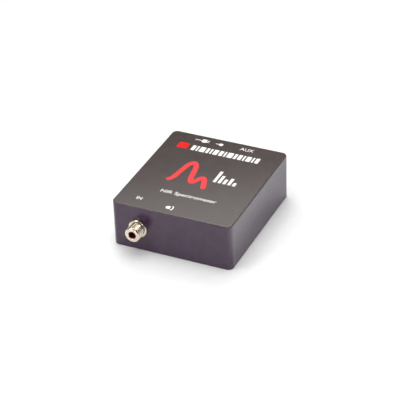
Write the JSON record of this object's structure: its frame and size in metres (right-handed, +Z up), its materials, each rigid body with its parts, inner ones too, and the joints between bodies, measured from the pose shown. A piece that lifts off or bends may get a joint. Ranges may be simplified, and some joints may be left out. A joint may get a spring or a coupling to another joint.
{
  "type": "compact fibre-optic near-infrared spectrometer",
  "caption": "Small flat rectangular black metal spectrometer with a threaded fibre receptacle in the front wall, a folded grating bench inside, and ports in the rear wall.",
  "frame": {"origin": "centre of the base plate's underside, which the object rests on", "axes": "+Z up; the fibre receptacle points to -Y, so the front wall faces -Y; +X to the right seen from the front"},
  "size_m": [0.052, 0.0656, 0.0204],
  "materials": {
    "black_anodised": "bead-blasted and black anodised, satin",
    "gasket": "moulded black elastomer",
    "steel_screws": "stainless steel, machined",
    "bench_black": "matt black anodised, machined",
    "mirror_glass": "protected gold-toned front coating on glass",
    "grating_glass": "ruled replica, aluminised",
    "baffle_black": "flock-like matt black",
    "cover_sheet": "matt black sheet",
    "nickel_plate": "bright nickel plate, turned",
    "filter_glass": "polished long-pass colour glass",
    "slit_foil": "blackened foil",
    "board_laminate": "solder mask over glass-epoxy laminate",
    "ceramic": "fired ceramic",
    "sensor_die": "polished die",
    "sensor_window": "polished glass",
    "gold_contacts": "gold plate",
    "flex_laminate": "polyimide film",
    "chip_epoxy": "moulded epoxy",
    "thermal_silicone": "soft gap filler",
    "capacitor_ceramic": "ceramic with tinned ends",
    "connector_plastic": "glass-filled nylon",
    "led_body": "moulded, clear lens",
    "light_pipe": "polished clear acrylic"
  },
  "bodies": {
    "casing": {"housing": "black_anodised", "base_plate": "black_anodised", "base_gasket": "gasket", "base_screws": "steel_screws", "optical_bench": "bench_black", "bench_screws": "steel_screws", "pivot_pins": "steel_screws", "stage_lock_screws": "steel_screws", "light_baffles": "baffle_black", "light_trap": "baffle_black", "optics_cover": "cover_sheet", "cover_screws": "steel_screws", "fibre_receptacle": "nickel_plate", "receptacle_nut": "nickel_plate", "lock_washer": "nickel_plate", "longpass_filter": "filter_glass", "slit_disc": "slit_foil", "slit_retainer": "bench_black", "detector_bracket": "bench_black", "bracket_screws": "steel_screws", "detector_board": "board_laminate", "detector_board_screws": "steel_screws", "detector_package": "ceramic", "detector_chip": "sensor_die", "detector_window": "sensor_window", "detector_pins": "gold_contacts", "detector_flex": "flex_laminate", "main_board": "board_laminate", "board_standoffs": "steel_screws", "board_screws": "steel_screws", "main_processor": "chip_epoxy", "thermal_pad": "thermal_silicone", "board_chips": "chip_epoxy", "board_capacitors": "capacitor_ceramic", "crystal": "steel_screws", "flex_connector": "connector_plastic", "status_led": "led_body", "light_pipe": "light_pipe", "usb_shell": "nickel_plate", "usb_tongue": "connector_plastic", "usb_contacts": "gold_contacts", "aux_shroud": "connector_plastic", "aux_pins": "gold_contacts"},
    "grating_stage": {"grating_mount": "bench_black", "diffraction_grating": "grating_glass"},
    "collimator_stage": {"collimator_mount": "bench_black", "collimating_mirror": "mirror_glass"},
    "focus_stage": {"focus_mount": "bench_black", "focusing_mirror": "mirror_glass"}
  },
  "joints": [
    {"name": "grating_turn", "type": "hinge", "parent": "casing", "child": "grating_stage", "pos_m": [-0.00235, -0.013, 0.0058], "axis": [0, 0, 1], "range_deg": [-4, 4]},
    {"name": "collimator_turn", "type": "hinge", "parent": "casing", "child": "collimator_stage", "pos_m": [-0.0142, 0.013, 0.0058], "axis": [0, 0, 1], "range_deg": [-3, 3]},
    {"name": "focus_turn", "type": "hinge", "parent": "casing", "child": "focus_stage", "pos_m": [0.0095, 0.013, 0.0058], "axis": [0, 0, 1], "range_deg": [-3, 3]}
  ]
}
